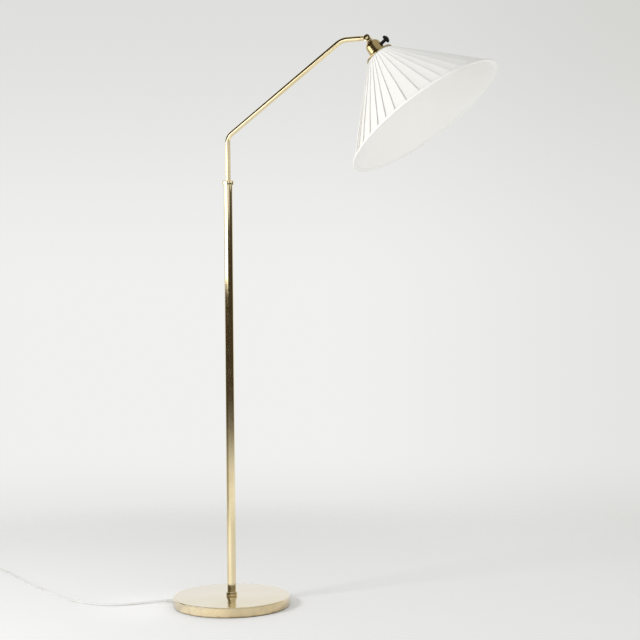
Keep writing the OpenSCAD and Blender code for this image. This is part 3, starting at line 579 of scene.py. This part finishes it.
# ---- knuckle ----
# Two turned brass cheeks with a fibre washer between them, drawn together by a slotted
# brass screw and a nut. Their friction holds the shade where it is put.
def fibre_skin(finish):
    fleck = finish.cloud(0.001, 5)
    return {
        "Base Color": finish.mix(fleck, (0.24, 0.11, 0.06), (0.32, 0.16, 0.09)),
        "Roughness": 0.6 + 0.2 * fleck,
        "Normal": finish.bump(fleck, 0.00005, 0.5),
    }


fibre = finish_named("fibre", {"Specular IOR Level": 0.35}, fibre_skin)
softened("arm_knuckle", "arm_cheek", polished_brass, 0.0006)
softened("head_knuckle", "head_cheek", polished_brass, 0.0006)
softened("knuckle_screw", "tilt_screw", polished_brass, 0.00015)
softened("knuckle_nut", "tilt_nut", polished_brass, 0.0003)
coat(fibre, "friction_washer")


# ---- bell and brim ----
# The bell is spun brass with a satin, slightly aged finish, and carries the lampholder. Under
# it a spun brim with a folded lip covers the shade's fitter.
def bell_skin(finish):
    worn = finish.cloud(0.03, 4)
    brushed = finish.cloud(0.0009, 3)
    return {
        "Base Color": finish.mix(worn.ramp(0.35, 0.7), (0.62, 0.49, 0.25), (0.54, 0.42, 0.20)),
        "Roughness": 0.11 + 0.06 * worn + 0.04 * brushed,
        "Normal": finish.bump(brushed, 0.000001, 0.4),
    }


satin_brass = finish_named(
    "satin_brass", {"Metallic": 1.0, "Coat Weight": 0.5, "Coat Roughness": 0.12}, bell_skin
)
knuckle_at = (0.3645, 0, arm_level)
head_turn = math.radians(144.6)
head = Matrix.Translation(knuckle_at) @ Matrix.Rotation(head_turn, 4, "Y")
bell_round = (0.004393, 0.026607)
bell_outline = (
    outline_mm((5.1, 10), (8.8, 10), (9.1, 10.1))
    + arc(*bell_round, 0.015, -45, -5.37, 14) + outline_mm((21, 43), (20, 43))
    + arc(*bell_round, 0.014, -5.38, -45, 14) + outline_mm((8.59, 11), (5.1, 11))
)
brim_outline = (
    outline_mm((19.9, 43), (21, 43.05), (35.9, 50.2), (36.3, 50.5), (36.5, 50.9))
    + arc(0.036, 0.0535, 0.0005, 0, 180, 6)
    + outline_mm((35.5, 51.13), (20.77, 44), (19.9, 44))
)
piece_of(turned(bell_outline, 144), "bell_cup", satin_brass, ["bell"], sharp=60, place=head)
piece_of(turned(brim_outline, 144), "brim", satin_brass, ["shade_brim"], sharp=50, place=head)
coat(bright_steel, "bell_nut")


# ---- shade ----
# Cotton cloth in forty knife pleats over a cone of wire, with a smooth pale lining inside
# and a narrow tape round the rim. The tape and the brim press the pleats flat at their ends.
pleat_count = 40
cloth_rows = 46
cloth_top, cloth_rim = 52.5, 243.7
cone_top, cone_length = 54, 191.7
cone_radius, cone_flare, cone_belly = 35, 0.8972, 1.6
# A pleat across: how far round it goes, and how high it stands, both in shares of a pleat.
pleat_line = [
    (0.0, 0.0), (0.07, 0.0), (0.16, 0.03), (0.28, 0.10), (0.40, 0.20), (0.52, 0.33), (0.64, 0.49),
    (0.75, 0.66), (0.84, 0.82), (0.91, 0.94), (0.955, 0.99), (0.985, 1.0), (1.012, 0.96),
    (1.022, 0.84), (1.02, 0.55), (1.008, 0.22),
]
columns = pleat_count * len(pleat_line)
# The cover's map in metres: forty pleats of 34 mm, and the length of their slope. A turned
# cloth is mapped by its mean radius, and by its slope's length for each metre of height.
cover_map = (1.36, 0.257)
round_radius, round_slant = 0.12, 1.35


def pleat_edge(i):
    """Where pleat i starts round the shade, in degrees. Their widths differ a little."""
    return 2.6 + 360 / pleat_count * i + math.sin(math.radians(70 * (i % pleat_count) - 15))


def share_between(value, low, high):
    """0 at low and below, 1 at high and above."""
    return max(0, min(1, (value - low) / (high - low)))


def cloth_spot(column, row):
    """A point of the pleated cloth in the shade's frame, in millimetres."""
    pleat, k = divmod(column % columns, len(pleat_line))
    across, height = pleat_line[k]
    share = row / cloth_rows
    along = cloth_top + (cloth_rim - cloth_top) * share
    down = (along - cone_top) / cone_length
    pressed = 0.85 * share_between(along, cloth_rim - 11, cloth_rim - 3)
    pressed += 0.6 * (1 - share_between(along, cloth_top, cloth_top + 8))
    height += (1 - height) * pressed
    # Each pleat has its own place in the noise, so that no two bend alike.
    loose = math.sin(math.pi * share)
    wave = 0.5 * noise.noise((pleat * 3.7, along / 55, 0.4))
    wave += 0.25 * noise.noise((pleat * 5.1 + k * 0.13, along / 24, 7.7))
    sway = 0.05 * loose * noise.noise((pleat * 9.1, along / 90, 3.3))
    start, end = pleat_edge(pleat), pleat_edge(pleat + 1)
    turn = math.radians(start + (across + sway) * (end - start))
    fold_depth = 1.4 + 2.9 * down
    radius = cone_radius + cone_flare * (along - cone_top) + cone_belly * math.sin(math.pi * max(0, down))
    radius += (height - 1) * fold_depth + wave * loose * (0.4 + 0.6 * height)
    return Vector((radius * math.cos(turn), -radius * math.sin(turn), along)) / 1000


def woven(finish, threads, colour, dark, depth=0.00003):
    """Plain weave of so many threads a metre, on the cloth's own map, which is in metres."""
    spot = finish.node("ShaderNodeUVMap", {"uv_map": "cloth"}, {})
    slub = finish.node("ShaderNodeTexNoise", {}, {"Vector": spot, "Scale": 700.0, "Detail": 3.0})
    waves = threads * 2 * math.pi
    weft = (finish.axis(spot, "X") * waves + 2.2 * slub).sine()
    warp = (finish.axis(spot, "Y") * waves + 2.2 * slub).sine()
    cloth = 0.25 * (weft + warp) + 0.5 * slub
    stain = finish.cloud(0.09, 3)
    return {
        "Base Color": finish.mix((cloth * 0.35 + 0.65 * stain).ramp(0.15, 0.8), dark, colour),
        "Normal": finish.bump(cloth, depth, 0.6),
    }


def cover_skin(finish):
    """The cover's weave, with painted shade in the creases at both sides of a pleat."""
    spot = finish.node("ShaderNodeUVMap", {"uv_map": "cloth"}, {})
    pleat = (finish.axis(spot, "X") / (cover_map[0] / pleat_count)).fraction()
    painted_crease_shade = (1 - pleat.ramp(0.0, 0.11)) + pleat.ramp(0.81, 0.88)
    parts = woven(finish, 1700, (0.875, 0.873, 0.850), (0.835, 0.830, 0.800))
    # Painted shade: the creases at both sides of a pleat are darkened.
    parts["Base Color"] = finish.mix(0.5 * painted_crease_shade, parts["Base Color"], (0.60, 0.58, 0.52))
    return parts


def lining_skin(finish):
    return woven(finish, 2400, (0.93, 0.925, 0.905), (0.90, 0.895, 0.87), 0.00002)


def tape_skin(finish):
    return woven(finish, 1500, (0.91, 0.90, 0.88), (0.87, 0.86, 0.83))


def wire_skin(finish):
    enamel = finish.cloud(0.002, 3)
    return {
        "Base Color": finish.mix(finish.cloud(0.01), (0.80, 0.79, 0.76), (0.72, 0.71, 0.67)),
        "Roughness": 0.35 + 0.2 * enamel,
        "Normal": finish.bump(enamel, 0.00004, 0.6),
    }


def mapped(shape):
    """Writes a turned cloth's map: metres round the shade's axis, and down its slope."""
    layer = shape.loops.layers.uv.new("cloth")
    for face in shape.faces:
        middle = face.calc_center_median().xy
        for corner in face.loops:
            spot = corner.vert.co
            turn = math.atan2(middle.y, middle.x) + middle.angle_signed(spot.xy, 0)
            corner[layer].uv = (turn * round_radius, round_slant * spot.z)
    return shape


cover_cloth = finish_named("cover_cloth", {"Roughness": 0.92, "Sheen Weight": 0.15}, cover_skin)
lining_cloth = finish_named("lining_cloth", {"Roughness": 0.8}, lining_skin)
tape_cloth = finish_named("tape_cloth", {"Roughness": 0.9, "Sheen Weight": 0.15}, tape_skin)
frame_wire = finish_named("frame_wire", {"Specular IOR Level": 0.5}, wire_skin)

shape = bmesh.new()
bmesh.ops.create_grid(shape, x_segments=columns, y_segments=cloth_rows, size=1, calc_uvs=False)
grid_spots = {}
for v in shape.verts:
    grid_spots[v] = (round((v.co.x + 1) / 2 * columns), round((v.co.y + 1) / 2 * cloth_rows))
layer = shape.loops.layers.uv.new("cloth")
for face in shape.faces:
    for corner in face.loops:
        column, row = grid_spots[corner.vert]
        corner[layer].uv = (column / columns * cover_map[0], row / cloth_rows * cover_map[1])
for v, (column, row) in grid_spots.items():
    v.co = cloth_spot(column, row)
bmesh.ops.remove_doubles(shape, verts=shape.verts, dist=1e-7)
outermost = max(shape.faces, key=lambda face: face.calc_center_median().xy.length)
if outermost.normal.xy.dot(outermost.calc_center_median().xy) < 0:
    bmesh.ops.reverse_faces(shape, faces=shape.faces)
bmesh.ops.smooth_vert(
    shape, verts=shape.verts, factor=0.12, use_axis_x=True, use_axis_y=True, use_axis_z=False
)
pleated = piece_of(shape, "pleated_cloth", cover_cloth, ["shade_cover"], sharp=75, place=head)
thick = pleated.modifiers.new("cloth", "SOLIDIFY")
thick.thickness = 0.0003
thick.offset = -1

tape_outline = (
    outline_mm(
        (203.0, 243.9), (203.0, 242.2), (203.3, 242.0), (203.6, 243.2), (205.4, 243.2), (205.6, 241.6)
    )
    + arc(0.2062, 0.2417, 0.0006, -90, 0, 4) + arc(0.2062, 0.2449, 0.0008, 0, 90, 5)
    + arc(0.2038, 0.2449, 0.0008, 90, 180, 5)
)
tape = piece_of(
    mapped(turned(tape_outline, 240)), "rim_tape", tape_cloth, ["rim_binding"], sharp=70, place=head
)

# The lining lies on the cone, and curves out over the rim ring to the tape.
lining_face = [(29.93 + 166.45 * k / 24, 56 + 187.7 * k / 24) for k in range(23)]
lining_face += [(187.9, 234.6), (192.3, 239.2)]
lining_back = [(radius + 0.45, height - 0.05) for radius, height in reversed(lining_face)]
rim_face = [(195.2, 241.8), (197.6, 243.3), (200.2, 244.1), (203.2, 244.3)]
rim_back = [(203.2, 243.7), (200.3, 243.5), (197.9, 242.8), (195.6, 241.2)]
lining_outline = outline_mm(*lining_face, *rim_face, *rim_back, *lining_back)
inner_cloth = piece_of(
    mapped(turned(lining_outline, 192)), "inner_cloth", lining_cloth, ["shade_lining"], sharp=60,
    place=head,
)
coat(frame_wire, "shade_frame")


# ---- lampholder and bulb ----
# A black moulded lampholder with a threaded skirt and brass contacts holds an opal bulb by
# its plated screw cap. Only the view from under the shade shows them.
def bakelite_skin(finish):
    swirl = finish.cloud(0.012, 5)
    return {
        "Base Color": finish.mix(swirl, (0.004, 0.0035, 0.0035), (0.009, 0.007, 0.007)),
        "Roughness": 0.26 + 0.16 * finish.cloud(0.003, 4),
        "Normal": finish.bump(finish.cloud(0.0012), 0.00003, 0.4),
    }


def opal_skin(finish):
    dust = finish.cloud(0.015, 5)
    return {
        "Base Color": finish.mix(dust.ramp(0.4, 0.8), (0.90, 0.90, 0.89), (0.86, 0.855, 0.835)),
        "Roughness": 0.18 + 0.14 * dust,
        "Normal": finish.bump(finish.cloud(0.02), 0.00002, 0.3),
    }


bakelite = finish_named("bakelite", {"Specular IOR Level": 0.18}, bakelite_skin)
opal_glass = finish_named("opal_glass", {"Coat Weight": 0.6, "Coat Roughness": 0.08}, opal_skin)
skirt_radius, skirt_root, skirt_pitch = 19.7, 19.25, 2
skirt_outline = [(0, 38), (17, 38), (17, 41.5), (19.3, 41.5), (skirt_radius, 41.9), (skirt_radius, 55)]
for k in range(10):
    start = 55 + skirt_pitch * k
    skirt_outline += [(skirt_radius, start), (skirt_root, start + 0.5)]
    skirt_outline += [(skirt_root, start + 1), (skirt_radius, start + 1.5)]
skirt_outline += [(skirt_radius, 75.6), (19.3, 76), (14.3, 76), (13.9, 75.6), (13.9, 51), (0, 51)]
cap_radius, cap_groove, cap_pitch, groove_steps = 12.65, 0.42, 3.6, 8
cap_outline = [(0, 52), (4.2, 52), (4.6, 52.4), (4.6, 53.6), (8, 53.6), (12.2, 56.3)]
for k in range(37):
    radius = cap_radius - cap_groove * math.cos(2 * math.pi * k / groove_steps)
    cap_outline.append((radius, 56.6 + cap_pitch * k / groove_steps))
cap_outline += [(12.7, 73.6), (13.05, 74.2), (13.05, 76.2), (12.8, 76.5), (0, 76.5)]
globe_middle, globe_radius, glass_wall = 0.127, 0.030, 0.0008
globe_outline = (
    [(0, 0.1562)] + arc(0, globe_middle, globe_radius - glass_wall, 84, -24.8, 22)
    + outline_mm((11.7, 82.5), (11.7, 76.5), (12.5, 76.5), (12.5, 82))
    + arc(0, globe_middle, globe_radius, -24.8, 84, 22) + [(0, 0.157)]
)
piece_of(
    turned(outline_mm(*skirt_outline), 96, closed=False), "holder_skirt", bakelite,
    ["lampholder_skirt"], sharp=40, place=head,
)
piece_of(
    turned(outline_mm(*cap_outline), 72, closed=False), "bulb_base", nickel, ["bulb_cap"],
    sharp=50, place=head,
)
piece_of(
    turned(globe_outline, 96, closed=False), "globe", opal_glass, ["bulb_glass"], sharp=50, place=head
)
coat(bakelite, "lampholder_cap", "shade_ring")
coat(raw_brass, "screw_shell", "centre_contact")


# ---- switch knob ----
# A black moulded knob on the bell's upper side, with finger flutes round its head and a
# domed end. A brass spindle runs from it into the lampholder.
neck_height, neck_radius = 0.009, 0.0085
flute_spacing, flute_out, flute_radius = 30, 0.0106, 0.0016
knob_place = (
    head @ Matrix.Translation((-0.0201, 0, 0.033)) @ Matrix.Rotation(math.radians(-96), 4, "Y")
)
shape = turned(
    outline_mm(
        (0, 10.5), (2, 10.5), (2, -2), (3.8, -2), (4, -1.8), (4, 9.9), (4.2, 10.3), (4.6, 10.5),
        (8.2, 10.5), (8.5, 10.7), (9.0, 11.6), (9.5, 12.4), (9.85, 12.9), (10, 13.3), (10, 14.3),
        (10, 15.3),
    )
    + arc(0, 0.008, 0.0125, 37.5, 86, 14) + [(0, 0.0205)],
    180, closed=False,
)
for v in shape.verts:
    out = v.co.xy.length
    if v.co.z > neck_height and out > neck_radius:
        turn = math.degrees(math.atan2(v.co.y, v.co.x)) % flute_spacing
        turn = math.radians(min(turn, flute_spacing - turn))
        cut = flute_radius ** 2 - (flute_out * math.sin(turn)) ** 2
        if cut > 0:
            v.co.xy *= min(1, (flute_out * math.cos(turn) - math.sqrt(cut)) / out)
piece_of(shape, "knob_head", bakelite, ["switch_knob"], sharp=40, place=knob_place)
coat(raw_brass, "switch_spindle")


# ---- leads inside the lamp ----
# The same white lead runs on from the bush through the base, the pole and the arm to the
# lampholder. None of it can be seen.
coat(cord_plastic, "base_lead", "pole_lead", "arm_lead", "head_lead")


# ---- floor ----
# A pale, matt studio floor, which fades into the background before its edge. It has painted light:
# brighter to the left, a painted pool of light beside the base, and for polished metal a painted
# brighter reflection of its front.
def floor_skin(finish):
    spot = finish.spot()
    from_middle = finish.measured("LENGTH", spot)
    from_base = finish.measured("DISTANCE", spot, (-0.17, -0.06, 0))
    leftward = finish.measured("DOT_PRODUCT", spot, (-0.8, -0.6, 0))
    way_out = finish.node("ShaderNodeVectorMath", {"operation": "NORMALIZE"}, {0: spot})
    frontward = finish.measured("DOT_PRODUCT", way_out, (-0.24, -0.97, 0))
    # Painted light: for the camera the floor glows brighter to the left, with a painted pool of light
    # beside the base.
    seen = 0.23 + 0.13 * leftward.ramp(-0.3, 0.8) + 0.15 * (1 - from_base.ramp(0.03, 0.25))
    # Painted reflection: polished metal sees the floor glow, brighter towards its front.
    painted_reflection_glow = 0.10 + 0.5 * frontward.ramp(0.75, 0.98)
    glow_with_painted_light = finish.ray("Is Camera Ray") * seen + finish.ray("Is Glossy Ray") * painted_reflection_glow
    return {
        "Base Color": finish.mix(finish.cloud(0.6, 3), (0.875, 0.877, 0.868), (0.888, 0.889, 0.88)),
        "Roughness": 0.75 + 0.1 * finish.cloud(0.02),
        "Emission Color": finish.mix(glow_with_painted_light, (0, 0, 0), (0.5, 0.5, 0.495)),
        "Alpha": 1.0 - from_middle.ramp(0.9, 2.0),
    }


studio_floor = finish_named(
    "studio_floor", {"Specular IOR Level": 0.2, "Emission Strength": 1.0}, floor_skin
)
shape = bmesh.new()
bmesh.ops.create_circle(shape, cap_ends=True, segments=96, radius=2.8)
floor_data = bpy.data.meshes.new("floor")
shape.to_mesh(floor_data)
shape.free()
floor_data.materials.append(studio_floor)
floor = bpy.data.objects.new("floor", floor_data)
bpy.context.scene.collection.objects.link(floor)


# ---- light ----
# An even pale room does most of the lighting, with a soft lamp at the left, and weaker, larger
# ones at the right and behind. Two white cards stand in front for the polished metal alone,
# which sees a pale backdrop behind it, the floor below, and otherwise a dim brown room.
def facing(spot, aim):
    """The place at spot of a lamp or card that faces aim."""
    turn = (Vector(aim) - Vector(spot)).to_track_quat("-Z", "Y").to_matrix().to_4x4()
    return Matrix.Translation(spot) @ turn


def lamp(name, spot, aim, size, power, colour=(1, 1, 1), spread=180):
    """A soft lamp, which metal doesn't mirror."""
    data = bpy.data.lights.new(name, "AREA")
    data.shape = "RECTANGLE"
    data.size, data.size_y = size
    data.energy = power
    data.color = colour
    data.spread = math.radians(spread)
    made = bpy.data.objects.new(name, data)
    made.matrix_world = facing(spot, aim)
    made.visible_camera = False
    made.visible_glossy = False
    bpy.context.scene.collection.objects.link(made)


def card_skin(finish):
    """White straight from the metal, and dark by way of anything matt."""
    return {"Emission Color": finish.mix(finish.ray("Diffuse Depth"), (1, 1, 1), (0, 0, 0))}


def card(name, spot, aim, size, brightness):
    """A white card, which only polished metal sees."""
    shape = bmesh.new()
    bmesh.ops.create_grid(shape, x_segments=1, y_segments=1, size=0.5, calc_uvs=False)
    shape.transform(facing(spot, aim) @ Matrix.Diagonal((*size, 1, 1)))
    data = bpy.data.meshes.new(name)
    shape.to_mesh(data)
    shape.free()
    steady = {"Base Color": (0, 0, 0, 1), "Specular IOR Level": 0.0, "Emission Strength": brightness}
    white = finish_named(name, steady, card_skin)
    white.cycles.emission_sampling = "NONE"
    data.materials.append(white)
    made = bpy.data.objects.new(name, data)
    for ray in ("camera", "diffuse", "transmission", "volume_scatter", "shadow"):
        setattr(made, "visible_" + ray, False)
    bpy.context.scene.collection.objects.link(made)


lamp("key", (-1.65, -2.15, 1.95), (0.35, 0, 0.75), (0.7, 0.7), 20.5, (1, 0.99, 0.97), spread=120)
lamp("back", (1.2, 2.6, 2.2), (0.4, 0, 1.1), (1.6, 1.6), 9)
lamp("fill", (1.9, -1.3, 0.5), (0.5, 0, 1.2), (1.4, 1.0), 5, (1, 0.98, 0.95))
card("left_card", (-1.27, -1.36, 1.17), (0, 0, 1.17), (3.35, 0.6), 2.69)
card("front_card", (1.84, -2.62, 2.0), (0, 0, 1.6), (1.8, 1.55), 0.91)

world = bpy.data.worlds.new("studio")
world.use_nodes = True
bpy.context.scene.world = world
room = Finish(world.node_tree)
# A way out into the room: how far it goes up, to the photograph's right, and to its back.
way = room.node("ShaderNodeTexCoord", {}, {}, "Generated")
height = room.measured("DOT_PRODUCT", way, (0, 0, 1))
rightward = room.measured("DOT_PRODUCT", way, (0.95159, 0.30736, 0))
backward = room.measured("DOT_PRODUCT", way, (-0.30736, 0.95159, 0))
# What polished metal sees: the dim room over the pale floor, and the backdrop behind.
wall_share = height.ramp(0.05, 0.3) * rightward.ramp(-0.44, -0.2)
dim_room = room.mix(wall_share, (0.05, 0.037, 0.022), (0.52, 0.50, 0.44))
far_floor = room.mix(rightward.ramp(-0.95, -0.5), (0.45, 0.42, 0.36), (0.92, 0.92, 0.91))
shine = room.mix(height.ramp(-0.127, -0.072), far_floor, dim_room)
shine = room.mix(backward.ramp(0.4, 0.65), shine, (0.82, 0.825, 0.82))
# What the camera sees: a backdrop that darkens upwards, downwards and to the right.
backdrop = room.mix(height.ramp(0.02, 0.26), (0.872, 0.873, 0.866), (0.735, 0.738, 0.722))
backdrop = room.mix(height.ramp(-0.165, -0.10), (0.782, 0.786, 0.770), backdrop)
backdrop = room.mix(rightward.ramp(0.0, 0.28), backdrop, (0.893, 0.897, 0.877), "MULTIPLY")
# What lights everything that is matt.
soft = room.mix(height.ramp(0.0, 0.55), (0.92, 0.92, 0.91), (0.48, 0.48, 0.48))
unseen = room.mix(room.ray("Is Glossy Ray"), soft, shine)
shown = room.mix(room.ray("Is Camera Ray"), unseen, backdrop)
backing = next(n for n in world.node_tree.nodes if n.type == "BACKGROUND")
world.node_tree.links.new(shown.socket, backing.inputs["Color"])

bpy.context.scene.view_settings.view_transform = "Standard"
